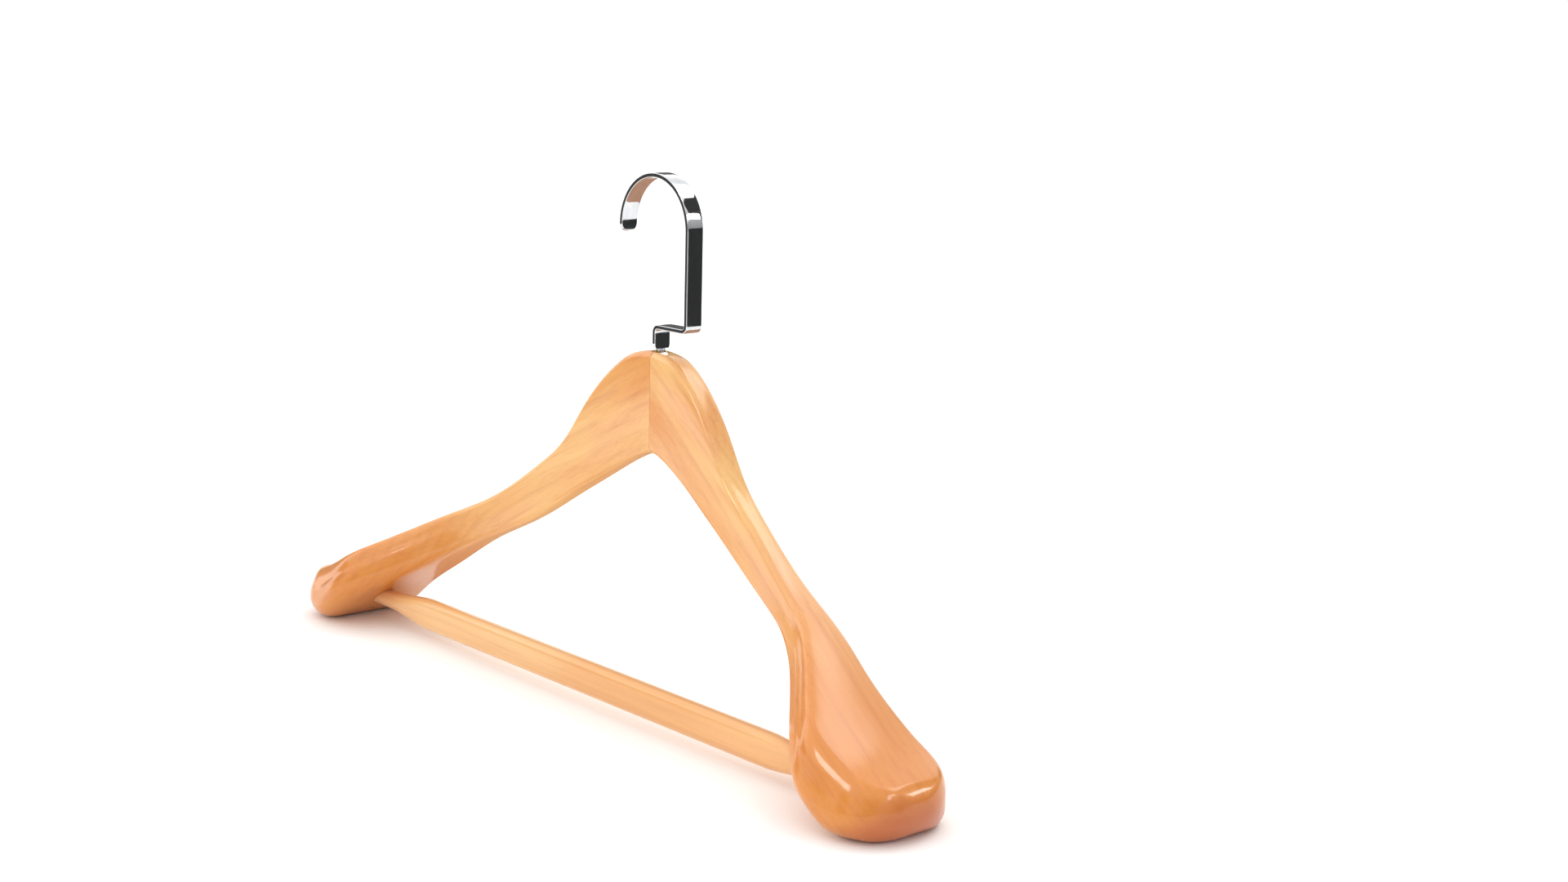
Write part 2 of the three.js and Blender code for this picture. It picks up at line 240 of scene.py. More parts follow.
def arm_section(x):
    """Ring of points round the right arm at x."""
    top = top_line(x) - corner_inset(x, TOP_CORNER) * TOP_CORNER_DEPTH / TOP_CORNER
    under = under_line(x) + corner_inset(x, FOOT_CORNER)
    front = front_line(x) + corner_inset(x, FRONT_CORNER)
    back = back_line(x) - corner_inset(x, BACK_CORNER)
    half_up = (top - under) / 2
    half_across = (back - front) / 2
    low = [low_front_line(x), low_back_line(x)]
    radii = [edge_line(x)] * 2 + low
    depths = [edge_depth_line(x)] * 2 + low
    ring = []
    for across, up in rounded_square(radii, half_across, half_up, depths=depths):
        spread = flare_line(x) * (1 - up) / 2 * -across if across < 0 else 0
        upper = min(1.0, max(0.0, 2 * up))
        lift = -crown_line(x) * across * across * eased_step(upper)
        y = front + half_across * (1 + across) - spread
        z = under + half_up * (1 + up) + lift
        ring.append((x, y + HEAD_Y, z))
    return ring


def bar_section(x):
    """Ring of points round the trouser bar at x: flat-sided in the middle, round at the ends."""
    share = (abs(x) - TAPER_START) / (TAPER_END - TAPER_START)
    tapered = eased_step(min(1.0, max(0.0, share)))
    half_up = (BAR_HIGH[2] - BAR_LOW[2]) / 2 * (1 - tapered) + BAR_END_RADIUS * tapered
    half_across = (BAR_HIGH[1] - BAR_LOW[1]) / 2 * (1 - tapered) + BAR_END_RADIUS * tapered
    radius = BAR_EDGE_RADIUS * (1 - tapered) + BAR_END_RADIUS * tapered
    _, y, z = BAR_MIDDLE
    square = rounded_square([radius] * 4, half_across, half_up, side_steps=3)
    return [(x, y + half_across * across, z + half_up * up) for across, up in square]


# ---- mesh making ----------------------------------------------------------------------------

SHARP = 35
ROUND_STEPS = 64


def new_piece(name, points, faces, sharp=SHARP):
    """An object from points in millimetres, smooth but for the edges where faces meet steeply."""
    mesh = bpy.data.meshes.new(name)
    mesh.from_pydata([Vector(point) * MM for point in points], [], faces)
    mesh.validate()
    obj = bpy.data.objects.new(name, mesh)
    bpy.context.scene.collection.objects.link(obj)
    shade(obj, sharp)
    return obj


def shade(obj, sharp):
    """Smooth shading, with edges sharper than this many degrees kept hard."""
    obj.data.shade_smooth()
    obj.data.set_sharp_from_angle(angle=math.radians(sharp))


def loft(name, rings, sharp=SHARP):
    """Closed skin through equal rings, with a flat cap at each end."""
    count = len(rings[0])
    points = [point for ring in rings for point in ring]
    faces = [tuple(reversed(range(count)))]
    for row in range(len(rings) - 1):
        for k in range(count):
            here = row * count + k
            beside = row * count + (k + 1) % count
            faces.append((here, beside, beside + count, here + count))
    last = (len(rings) - 1) * count
    faces.append(tuple(range(last, last + count)))
    return new_piece(name, points, faces, sharp)


def turned(name, outline, x, y, sharp=SHARP, steps=ROUND_STEPS):
    """Body of revolution about a vertical axis, from an outline of (radius, z) that starts and
    ends on the axis, or closes on itself when it keeps off the axis."""
    on_axis = outline[0][0] == 0
    rows = outline[1:-1] if on_axis else outline
    points = []
    for radius, z in rows:
        for k in range(steps):
            angle = 2 * math.pi * k / steps
            points.append((x + radius * math.cos(angle), y + radius * math.sin(angle), z))
    faces = []
    for row in range(len(rows) - 1 if on_axis else len(rows)):
        above = ((row + 1) % len(rows) - row) * steps
        for k in range(steps):
            here = row * steps + k
            beside = row * steps + (k + 1) % steps
            faces.append((here, beside, beside + above, here + above))
    if on_axis:
        last = (len(rows) - 1) * steps
        faces.append(tuple(reversed(range(steps))))
        faces.append(tuple(range(last, last + steps)))
    return new_piece(name, points, faces, sharp)


def block(name, low, high):
    """Plain box, used only to cut other pieces."""
    xs, ys, zs = zip(low, high)
    corners = [(x, y, z) for z in zs for y in ys for x in xs]
    faces = [(0, 2, 3, 1), (4, 5, 7, 6), (0, 1, 5, 4), (2, 6, 7, 3), (0, 4, 6, 2), (1, 3, 7, 5)]
    return new_piece(name, corners, faces)


def cut(obj, cutters):
    """Takes the cutters out of obj and removes them."""
    for cutter in cutters:
        boolean = obj.modifiers.new("cut", "BOOLEAN")
        boolean.operation = "DIFFERENCE"
        boolean.solver = "EXACT"
        boolean.object = cutter
    depsgraph = bpy.context.evaluated_depsgraph_get()
    mesh = bpy.data.meshes.new_from_object(obj.evaluated_get(depsgraph))
    obj.modifiers.clear()
    obj.data = mesh
    for cutter in cutters:
        bpy.data.objects.remove(cutter)
    shade(obj, SHARP)
    return obj


# ---- wooden pieces --------------------------------------------------------------------------

def cutter_along_x(name, radius, x_low, x_high, y, z):
    """Round cutter along X."""
    turns = [2 * math.pi * k / ROUND_STEPS for k in range(ROUND_STEPS)]
    circle = [(y + radius * math.cos(turn), z + radius * math.sin(turn)) for turn in turns]
    return loft(name, [[(x, *point) for point in circle] for x in (x_low, x_high)])


def tenon_rings(half_length, extra):
    """Rings of the loose tenon along X, its section grown by extra and its ends eased."""
    radius = (TENON_HIGH[1] - TENON_LOW[1]) / 2
    straight = (TENON_HIGH[2] - TENON_LOW[2]) / 2 - radius
    middle = (TENON_LOW + TENON_HIGH) / 2
    eased = half_length - TENON_CHAMFER
    arc_steps = 32
    ends = [(-half_length, TENON_CHAMFER), (-eased, 0), (eased, 0), (half_length, TENON_CHAMFER)]
    rings = []
    for x, shrink in ends:
        size = radius + extra - shrink
        ring = []
        for half, centre_z in enumerate((middle[2] + straight, middle[2] - straight)):
            for k in range(arc_steps + 1):
                angle = math.pi * (half + k / arc_steps)
                y = middle[1] + size * math.cos(angle)
                z = centre_z + size * math.sin(angle)
                ring.append((x, y, z))
        rings.append(ring)
    return rings


def right_arm():
    """Right-hand arm, with its bores for the swivel's sleeve, tenon, bar end and brad."""
    blunt_start = HALF_LENGTH - BACK_CORNER
    plain_steps = 110
    end_steps = 26
    xs = [SEAM_GAP + (blunt_start - SEAM_GAP) * k / plain_steps for k in range(plain_steps)]
    turns = [k / end_steps * math.pi / 2 for k in range(end_steps + 1)]
    xs += [blunt_start + BACK_CORNER * math.sin(turn) for turn in turns]
    arm = loft("right_arm_wood", [arm_section(x) for x in xs])

    sleeve_radius = SLEEVE_HIGH[0] + FIT
    sleeve_low = SLEEVE_LOW[2] - FIT
    sleeve_top = HEAD_TOP + CUT_PAST
    sleeve = turned("sleeve_bore", [
        (0, sleeve_low), (sleeve_radius, sleeve_low), (sleeve_radius, sleeve_top), (0, sleeve_top),
    ], 0, HEAD_Y)
    bar_end = cutter_along_x(
        "bar_end_bore", BAR_END_RADIUS + FIT, BAR_BORE_START, BAR_HIGH[0] + FIT, *BAR_MIDDLE[1:])
    head_radius = (BRAD_HIGH[0] - BRAD_LOW[0]) / 2 + FIT
    shank_radius = BRAD_SHANK_RADIUS + FIT
    head_top = BRAD_LOW[2] + BRAD_HEAD_HEIGHT + FIT
    brad_top = BRAD_HIGH[2] + FIT
    brad = turned("brad_bore", [
        (0, -CUT_PAST), (head_radius, -CUT_PAST), (head_radius, head_top),
        (shank_radius, head_top), (shank_radius, brad_top), (0, brad_top),
    ], *BRAD_MIDDLE[:2])
    mortise = loft("mortise", tenon_rings(TENON_HIGH[0] + FIT, FIT))
    return cut(arm, [sleeve, bar_end, brad, mortise])


def mirrored(obj, name):
    """A copy of obj on the other side of the hanger's middle."""
    mesh = obj.data.copy()
    mesh.transform(Matrix.Scale(-1, 4, (1, 0, 0)))
    mesh.flip_normals()
    copy = bpy.data.objects.new(name, mesh)
    bpy.context.scene.collection.objects.link(copy)
    return copy


def trouser_bar():
    """Flat bar with eased ends and a hole near each end for its brad."""
    end = BAR_HIGH[0]
    start = BAR_END_EASE - end
    steps = 90
    rings = [bar_section(start - 2 * start * k / steps) for k in range(steps + 1)]
    share = 1 - BAR_END_EASE / BAR_END_RADIUS

    def eased(ring, x):
        _, y, z = BAR_MIDDLE
        return [(x, y + (point[1] - y) * share, z + (point[2] - z) * share) for point in ring]

    bar = loft("trouser_bar_wood", [eased(rings[0], -end)] + rings + [eased(rings[-1], end)])
    radius = BRAD_SHANK_RADIUS + FIT
    low = BAR_LOW[2] - CUT_PAST
    high = BAR_HIGH[2] + CUT_PAST
    outline = [(0, low), (radius, low), (radius, high), (0, high)]
    x, y, _ = BRAD_MIDDLE
    return cut(bar, [turned("brad_hole", outline, side * x, y, steps=24) for side in (-1, 1)])


# ---- metal pieces ---------------------------------------------------------------------------

def band_path():
    """Middle line of the hook's band as (x, z, heading) from its foot to its tip."""
    upright = math.pi / 2
    foot_steps = 6
    jog_steps = 8
    bend_steps = 12
    side_steps = 20
    arch_steps = 120
    foot = BAND_LOW[2] + TANG_DEPTH
    side_x = BAND_HIGH[0] - BAND_THICKNESS / 2
    centre_x = side_x - ARCH_RADIUS
    centre_z = BAND_HIGH[2] - BAND_THICKNESS / 2 - ARCH_RADIUS
    turns = [upright * k / bend_steps for k in range(bend_steps + 1)]
    path = []
    for k in range(foot_steps):
        path.append((0, foot + (JOG_HEIGHT - JOG_BEND - foot) * k / foot_steps, upright))
    for turn in turns:
        x = JOG_BEND * (1 - math.cos(turn))
        z = JOG_HEIGHT - JOG_BEND * (1 - math.sin(turn))
        path.append((x, z, upright - turn))
    for k in range(1, jog_steps):
        path.append((JOG_BEND + (side_x - 2 * JOG_BEND) * k / jog_steps, JOG_HEIGHT, 0))
    for turn in turns:
        x = side_x - JOG_BEND * (1 - math.sin(turn))
        z = JOG_HEIGHT + JOG_BEND * (1 - math.cos(turn))
        path.append((x, z, turn))
    start = JOG_HEIGHT + JOG_BEND
    for k in range(1, side_steps):
        path.append((side_x, start + (centre_z - start) * k / side_steps, upright))
    for k in range(arch_steps + 1):
        turn = ARCH_SWEEP * k / arch_steps
        x = centre_x + ARCH_RADIUS * math.cos(turn)
        z = centre_z + ARCH_RADIUS * math.sin(turn)
        path.append((x, z, upright + turn))
    return path


def band_ring(place, half_width, half_thickness):
    """Ring round the band, its width along Y and its thickness square to its middle line."""
    x, z, heading = place
    radius = min(BAND_EDGE_RADIUS, half_width, half_thickness)
    ring = []
    for across, out in rounded_square([radius] * 4, half_width, half_thickness, 5, 5):
        out_x = -math.sin(heading) * out * half_thickness
        out_z = math.cos(heading) * out * half_thickness
        ring.append((x + out_x, HEAD_Y + across * half_width, z + out_z))
    return ring


def tip_pull(left):
    """How far each edge of the band has pulled in, with this much of its length left."""
    if left >= BAND_TIP_RADIUS:
        return 0.0
    along = BAND_TIP_RADIUS - left
    return BAND_TIP_RADIUS - math.sqrt(max(0.0, BAND_TIP_RADIUS ** 2 - along ** 2))


def hook_band():
    """Flat band, bent up, across and over, with a half-round tip and a tang under its foot."""
    path = band_path()
    half_width = (BAND_HIGH[1] - BAND_LOW[1]) / 2
    half_thickness = BAND_THICKNESS / 2
    ease = 0.4
    blunt_width = TANG_WIDTH - 1.5 * ease
    shoulder = 0.02
    tang = [(TANG_DEPTH, blunt_width), (TANG_DEPTH - ease, TANG_WIDTH), (shoulder, TANG_WIDTH)]
    foot_x, foot_z, up = path[0]
    rings = []
    for depth, width in tang:
        rings.append(band_ring((foot_x, foot_z - depth, up), width / 2, half_thickness))
    rings.append(band_ring(path[0], half_width - ease, half_thickness))
    lengths = [0.0]
    for start, end in zip(path, path[1:]):
        lengths.append(lengths[-1] + math.hypot(end[0] - start[0], end[1] - start[1]))
    tip_share = 0.98
    thinned_over = 0.6
    thinned_by = 0.35
    for place, length in zip(path[1:], lengths[1:]):
        left = lengths[-1] - length
        thin = half_thickness * (1 - thinned_by * max(0.0, 1 - left / thinned_over) ** 2)
        rings.append(band_ring(place, half_width - tip_pull(left) * tip_share, thin))
    return loft("hook_band_chrome", rings, sharp=40)


def swivel_stud():
    """Headed stud with a slot for the band's tang."""
    low, high = STUD_LOW[2], STUD_HIGH[2]
    head = (STUD_HIGH[0] - STUD_LOW[0]) / 2
    head_top = low + STUD_HEAD_HEIGHT
    ease = 0.3
    stud = turned("swivel_stud_steel", [
        (0, low), (head - ease, low), (head, low + ease), (head, head_top),
        (STUD_RADIUS, head_top), (STUD_RADIUS, high - ease), (STUD_RADIUS - ease, high), (0, high),
    ], 0, HEAD_Y)
    half_slot = BAND_THICKNESS / 2 + FIT
    slot_low = (-half_slot, HEAD_Y - CUT_PAST, BAND_LOW[2] - 2 * FIT)
    slot_high = (half_slot, HEAD_Y + CUT_PAST, high + CUT_PAST)
    return cut(stud, [block("slot", slot_low, slot_high)])


def thrust_washer():
    """Flat washer with its outer edges eased."""
    inner = SWIVEL_BORE_RADIUS
    outer = (WASHER_HIGH[0] - WASHER_LOW[0]) / 2
    low, high = WASHER_LOW[2], WASHER_HIGH[2]
    ease = 0.1
    return turned("thrust_washer_steel", [
        (inner, low), (outer - ease, low), (outer, low + ease),
        (outer, high - ease), (outer - ease, high), (inner, high),
    ], 0, HEAD_Y)


def swivel_sleeve():
    """Sleeve with a pocket from below for the stud's head and washer."""
    low, high = SLEEVE_LOW[2], SLEEVE_HIGH[2]
    inner = SWIVEL_BORE_RADIUS
    outer = (SLEEVE_HIGH[0] - SLEEVE_LOW[0]) / 2
    pocket = (WASHER_HIGH[0] - WASHER_LOW[0]) / 2 + WASHER_PLAY
    shoulder = WASHER_HIGH[2] + WASHER_PLAY
    ease = 0.3
    return turned("swivel_sleeve_brass", [
        (pocket, low), (outer, low), (outer, high - ease), (outer - ease, high),
        (inner + ease, high), (inner, high - ease), (inner, shoulder), (pocket, shoulder),
    ], 0, HEAD_Y)


def bar_brad(name, side):
    """Brad with a slightly domed head below and a blunt point on top."""
    low, high = BRAD_LOW[2], BRAD_HIGH[2]
    head = (BRAD_HIGH[0] - BRAD_LOW[0]) / 2
    dome = [(0, low), (head * 0.55, low + 0.02), (head * 0.85, low + 0.12), (head, low + 0.35)]
    neck = [(head, low + 0.75), (head - 0.2, low + BRAD_HEAD_HEIGHT)]
    shank = [(BRAD_SHANK_RADIUS, low + 1.1), (BRAD_SHANK_RADIUS, high - 2)]
    point = [(0.25, high - 0.3), (0, high)]
    x, y, _ = BRAD_MIDDLE
    return turned(name, dome + neck + shank + point, side * x, y, sharp=50)


# ---- wood grain -----------------------------------------------------------------------------

ARM_GRAIN = (HALF_LENGTH - 10, -41, -126)
ARM_GRAIN_START = (0, HEAD_Y, 138)


def set_grain(obj, along, start, shift):
    """Stores each point's place in the board that the piece was sawn from, in millimetres.
    Its first axis runs with the grain, and the shift picks another part of the tree. Stored too
    are the distance along the piece, and how far the surface faces along the grain, from 0 to 1
    on end grain."""
    x_axis = Vector(along).normalized()
    y_axis = Vector((0, 0, 1)).cross(x_axis).normalized()
    z_axis = x_axis.cross(y_axis)
    turn = np.array([x_axis, y_axis, z_axis])
    points = np.array([vertex.co for vertex in obj.data.vertices]) / MM
    normals = np.array([vertex.normal for vertex in obj.data.vertices])
    place = (points - np.array(start)) @ turn.T
    facing = np.abs(normals @ turn[0])

    def store(name, kind, field, values):
        attribute = obj.data.attributes.new(name, kind, "POINT")
        attribute.data.foreach_set(field, values.astype(np.float32).ravel())

    store("along", "FLOAT", "value", place[:, 0])
    store("grain", "FLOAT_VECTOR", "vector", place + np.array(shift))
    store("end_grain", "FLOAT", "value", facing)


# ---- materials ------------------------------------------------------------------------------

def srgb(red, green, blue):
    """Linear colour from 0 to 255 screen values."""
    shares = [value / 255 for value in (red, green, blue)]
    linear = [s / 12.92 if s <= 0.04045 else ((s + 0.055) / 1.055) ** 2.4 for s in shares]
    return linear + [1.0]


class Nodes:
    """One material's node tree, built in short calls."""

    def __init__(self, name):
        self.material = bpy.data.materials.new(name)
        self.material.use_nodes = True
        self.tree = self.material.node_tree
        self.tree.nodes.clear()
        self.shader = self.add("ShaderNodeBsdfPrincipled")
        output = self.add("ShaderNodeOutputMaterial")
        self.tree.links.new(self.shader.outputs["BSDF"], output.inputs["Surface"])

    def add(self, kind, **settings):
        """A new node of a kind, with its settings."""
        made = self.tree.nodes.new(kind)
        for key, value in settings.items():
            setattr(made, key, value)
        return made

    def put(self, made, socket, value):
        """Links a socket to an output, or sets its value."""
        if isinstance(value, bpy.types.NodeSocket):
            self.tree.links.new(value, made.inputs[socket])
        else:
            made.inputs[socket].default_value = value

    def set(self, **values):
        """Sets the shader's own sockets, with _ for a space in their names."""
        for key, value in values.items():
            self.put(self.shader, key.replace("_", " "), value)

    def stored(self, name, output="Fac"):
        """A value that set_grain stored at each point."""
        return self.add("ShaderNodeAttribute", attribute_name=name).outputs[output]

    def scaled(self, vector, scale, shift=(0, 0, 0)):
        """A place, stretched for a texture."""
        made = self.add("ShaderNodeMapping")
        self.put(made, "Vector", vector)
        self.put(made, "Scale", scale)
        self.put(made, "Location", shift)
        return made.outputs["Vector"]

    def noise(self, vector, detail, roughness=0.5):
        """Cloudy values between 0 and 1."""
        made = self.add("ShaderNodeTexNoise")
        self.put(made, "Vector", vector)
        self.put(made, "Scale", 1.0)
        self.put(made, "Detail", detail)
        self.put(made, "Roughness", roughness)
        return made.outputs["Fac"]

    def math(self, operation, first, second=0.0):
        """Result of a sum on one or two values."""
        made = self.add("ShaderNodeMath", operation=operation)
        self.put(made, 0, first)
        self.put(made, 1, second)
        return made.outputs[0]

    def remap(self, value, low, high, to_low=0.0, to_high=1.0):
        """Eased step from to_low to to_high, as the value goes from low to high."""
        made = self.add("ShaderNodeMapRange", interpolation_type="SMOOTHSTEP")
        self.put(made, "Value", value)
        self.put(made, "From Min", low)
        self.put(made, "From Max", high)
        self.put(made, "To Min", to_low)
        self.put(made, "To Max", to_high)
        return made.outputs["Result"]

    def mix(self, factor, first, second):
        """Mixes two colours. They are inputs 6 and 7 of the node, and output 2 is the mixed one."""
        made = self.add("ShaderNodeMix", data_type="RGBA", blend_type="MIX")
        self.put(made, "Factor", factor)
        self.put(made, 6, first)
        self.put(made, 7, second)
        return made.outputs[2]

    def bump(self, height, strength, distance):
        """Small relief in the surface, its depth in metres."""
        made = self.add("ShaderNodeBump")
        self.put(made, "Height", height)
        self.put(made, "Strength", strength)
        self.put(made, "Distance", distance)
        return made.outputs["Normal"]


def ring_lines(nodes, place):
    """From 0 to 1 across each year's growth, in rings round a heart beside the board."""
    heart_across = 46.0
    heart_up = 30.0
    heart_drift = 0.012
    ring_width = 3.4
    ring_wander = 5.0
    wander = nodes.noise(nodes.scaled(place, (0.003, 0.02, 0.02)), detail=2)
    split = nodes.add("ShaderNodeSeparateXYZ")
    nodes.put(split, "Vector", place)
    drift = nodes.math("MULTIPLY", split.outputs["X"], heart_drift)
    across = nodes.math("ADD", nodes.math("ADD", split.outputs["Y"], heart_across), drift)
    up = nodes.math("ADD", split.outputs["Z"], heart_up)
    across_squared = nodes.math("MULTIPLY", across, across)
    up_squared = nodes.math("MULTIPLY", up, up)
    distance = nodes.math("SQRT", nodes.math("ADD", across_squared, up_squared))
    wandered = nodes.math("ADD", distance, nodes.math("MULTIPLY", wander, ring_wander))
    return nodes.math("FRACT", nodes.math("DIVIDE", wandered, ring_width))


def lacquered_wood(name, colours):
    """Fine straight-grained hardwood under clear gloss lacquer. Its five colours are pale, warm,
    rosy, a deeper amber blended in towards the arm's tip as painted shade on the bulbs, and the deep
    one of its grain lines, which also darkens end grain and paints the shade on the arms' end faces."""
    pale, warm, rosy, shaded_amber, deep = (srgb(*colour) for colour in colours)
    tip_shade_start = 110
    tip_shade_full = 215
    nodes = Nodes(name)
    place = nodes.stored("grain", "Vector")
    tone = nodes.noise(nodes.scaled(place, (0.006, 0.03, 0.03)), detail=2, roughness=0.6)
    blush = nodes.noise(nodes.scaled(place, (0.012, 0.05, 0.05), (7, 3, 5)), detail=2)
    honeyed = nodes.mix(nodes.remap(tone, 0.35, 0.65), pale, warm)
    blushed = nodes.mix(nodes.remap(blush, 0.45, 0.7, 0.0, 0.7), honeyed, rosy)
    # Painted shade: the colour deepens to amber further out along the arm, so the bulbs at the tips
    # look shaded.
    tip_shade = nodes.remap(nodes.stored("along"), tip_shade_start, tip_shade_full, 0.0, 0.85)
    base = nodes.mix(tip_shade, blushed, shaded_amber)
    year = ring_lines(nodes, place)
    late = nodes.math("MULTIPLY", nodes.remap(year, 0.25, 0.8), nodes.remap(year, 1.0, 0.8))
    fibre = nodes.noise(nodes.scaled(place, (0.02, 1.3, 1.3)), detail=5, roughness=0.62)
    streak = nodes.noise(nodes.scaled(place, (0.004, 0.22, 0.22)), detail=3, roughness=0.55)
    darkening = nodes.math("MULTIPLY", late, nodes.remap(streak, 0.3, 0.7, 0.03, 0.15))
    lined = nodes.mix(darkening, base, deep)
    streaked = nodes.mix(nodes.remap(streak, 0.42, 0.75, 0.0, 0.16), lined, deep)
    fibred = nodes.mix(nodes.remap(fibre, 0.45, 0.8, 0.0, 0.25), streaked, deep)
    fleck_noise = nodes.noise(nodes.scaled(place, (0.3, 3.0, 3.0)), detail=1)
    fleck = nodes.remap(fleck_noise, 0.66, 0.76)
    flecked = nodes.mix(nodes.math("MULTIPLY", fleck, 0.25), fibred, deep)
    # End grain shows darker as it soaks up more lacquer, and the same strong darkening also paints
    # the shade on the arms' end faces.
    soaked_and_shaded = nodes.mix(nodes.remap(nodes.stored("end_grain"), 0.4, 0.95, 0.0, 0.85), flecked, deep)
    nodes.set(Base_Color=soaked_and_shaded)
    nodes.set(Roughness=nodes.remap(fibre, 0.3, 0.8, 0.34, 0.48), Specular_IOR_Level=0.25)
    nodes.set(Normal=nodes.bump(nodes.math("SUBTRACT", fibre, fleck), 0.12, 0.0002))
    peel = nodes.noise(nodes.scaled(place, (0.16, 0.22, 0.22)), detail=2)
    nodes.set(Coat_Normal=nodes.bump(peel, 0.15, 0.0003))
    nodes.set(Coat_Weight=0.75, Coat_Roughness=0.1, Coat_IOR=1.45)
    return nodes.material


def bare_wood(name, pale, deep):
    """Sanded wood with no finish."""
    nodes = Nodes(name)
    place = nodes.stored("grain", "Vector")
    fibre = nodes.noise(nodes.scaled(place, (0.03, 1.6, 1.6)), detail=5, roughness=0.65)
    nodes.set(Base_Color=nodes.mix(nodes.remap(fibre, 0.3, 0.75), pale, deep))
    nodes.set(Roughness=nodes.remap(fibre, 0.3, 0.8, 0.62, 0.8))
    nodes.set(Normal=nodes.bump(fibre, 0.3, 0.0002))
    return nodes.material


def object_place(nodes):
    """Place in the piece's own frame, in millimetres."""
    made = nodes.add("ShaderNodeTexCoord")
    return nodes.scaled(made.outputs["Object"], (1 / MM, 1 / MM, 1 / MM))


def chrome(name):
    """Bright plating, with faint smears and hairlines along the band's width."""
    nodes = Nodes(name)
    place = object_place(nodes)
    smear = nodes.noise(nodes.scaled(place, (0.12, 0.2, 0.08)), detail=4, roughness=0.6)
    hairline = nodes.noise(nodes.scaled(place, (0.05, 7.0, 0.05)), detail=3, roughness=0.7)
    bright = srgb(222, 224, 226)
    dull = srgb(206, 209, 213)
    nodes.set(Base_Color=nodes.mix(nodes.remap(smear, 0.3, 0.7), bright, dull))
    nodes.set(Metallic=1.0)
    smeared = nodes.remap(smear, 0.4, 0.75, 0.035, 0.09)
    scratched = nodes.remap(hairline, 0.6, 0.8, 0.0, 0.05)
    nodes.set(Roughness=nodes.math("ADD", smeared, scratched))
    ripple = nodes.noise(nodes.scaled(place, (0.09, 0.09, 0.09)), detail=2)
    nodes.set(Normal=nodes.bump(ripple, 0.15, 0.0003))
    return nodes.material


def turned_metal(name, bright, dull, rough):
    """Lathe-turned metal with fine tool rings and slight tarnish."""
    nodes = Nodes(name)
    place = object_place(nodes)
    tarnish = nodes.noise(nodes.scaled(place, (0.3, 0.3, 0.3)), detail=4, roughness=0.6)
    tool = nodes.noise(nodes.scaled(place, (0.02, 0.02, 9.0)), detail=2)
    nodes.set(Base_Color=nodes.mix(nodes.remap(tarnish, 0.35, 0.7), bright, dull))
    nodes.set(Metallic=1.0)
    nodes.set(Roughness=nodes.remap(tarnish, 0.3, 0.75, rough, rough + 0.15))
    nodes.set(Normal=nodes.bump(tool, 0.2, 0.00005))
    return nodes.material


def matt(name, colour):
    """Even colour with no shine at all."""
    nodes = Nodes(name)
    nodes.set(Base_Color=colour, Roughness=1.0, Specular_IOR_Level=0.0)
    return nodes.material


def floor_paint(name):
    """Matt near-white studio floor."""
    nodes = Nodes(name)
    place = object_place(nodes)
    mottle = nodes.noise(nodes.scaled(place, (0.01, 0.01, 0.01)), detail=3)
    nodes.set(Base_Color=nodes.mix(mottle, (0.95, 0.95, 0.95, 1), (0.98, 0.98, 0.98, 1)))
    nodes.set(Roughness=0.9)
    nodes.set(Specular_IOR_Level=0.1)
    return nodes.material


# ---- assembly -------------------------------------------------------------------------------

def finish_piece(obj, node, body, material):
    """Gives a fine piece its material and its CAD body, and hides the CAD node that it stands for.
    """
    obj.data.materials.clear()
    obj.data.materials.append(material)
    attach(obj, body)
    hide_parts(node)


def build_hanger():
    """Makes every material and piece, and puts each piece on its body."""
    # The fourth colour is the deeper amber painted in as shade towards the arm tips; on the bar it
    # is the same as its warm colour.
    honey = lacquered_wood("honey_wood", [
        (238, 188, 120), (222, 150, 78), (232, 171, 117), (215, 133, 52), (184, 94, 46)])
    bar_honey = lacquered_wood("bar_honey_wood", [
        (238, 188, 128), (231, 170, 107), (235, 178, 134), (231, 170, 107), (196, 124, 70)])
    pale = bare_wood("pale_wood", srgb(222, 190, 140), srgb(186, 146, 98))
    plating = chrome("hook_plating")
    steel = turned_metal("turned_steel", srgb(176, 178, 182), srgb(140, 142, 148), 0.3)
    brass = turned_metal("turned_brass", srgb(214, 178, 104), srgb(178, 140, 76), 0.28)
    nail = turned_metal("nail_steel", srgb(160, 162, 166), srgb(120, 120, 124), 0.35)

    right = right_arm()
    left = mirrored(right, "left_arm_wood")
    bar = trouser_bar()
    tenon = loft("loose_tenon_wood", tenon_rings(TENON_HIGH[0], 0))
    run_x, run_y, run_z = ARM_GRAIN
    set_grain(right, (run_x, run_y, run_z), ARM_GRAIN_START, (0, 0, 0))
    set_grain(left, (-run_x, run_y, run_z), ARM_GRAIN_START, (900, 17, 31))
    set_grain(bar, (1, 0, 0), (0, 0, 0), (1900, 60, 12))
    set_grain(tenon, (1, 0, 0), (0, 0, 0), (2900, 5, 50))

    finish_piece(right, "right_arm", "frame", honey)
    finish_piece(left, "left_arm", "frame", honey)
    finish_piece(bar, "trouser_bar", "frame", bar_honey)
    finish_piece(tenon, "loose_tenon", "frame", pale)
    finish_piece(swivel_sleeve(), "swivel_sleeve", "frame", brass)
    finish_piece(thrust_washer(), "thrust_washer", "frame", steel)
    finish_piece(bar_brad("bar_brad_right_steel", 1), "bar_brad_right", "frame", nail)
    finish_piece(bar_brad("bar_brad_left_steel", -1), "bar_brad_left", "frame", nail)
    finish_piece(swivel_stud(), "swivel_stud", "hook", steel)
    finish_piece(hook_band(), "hook_band", "hook", plating)


# ---- studio ---------------------------------------------------------------------------------
# Angles are in degrees. Lights, dark cards and the camera are placed and sized in metres, and the
# floor, the wall and the card on the floor in millimetres.

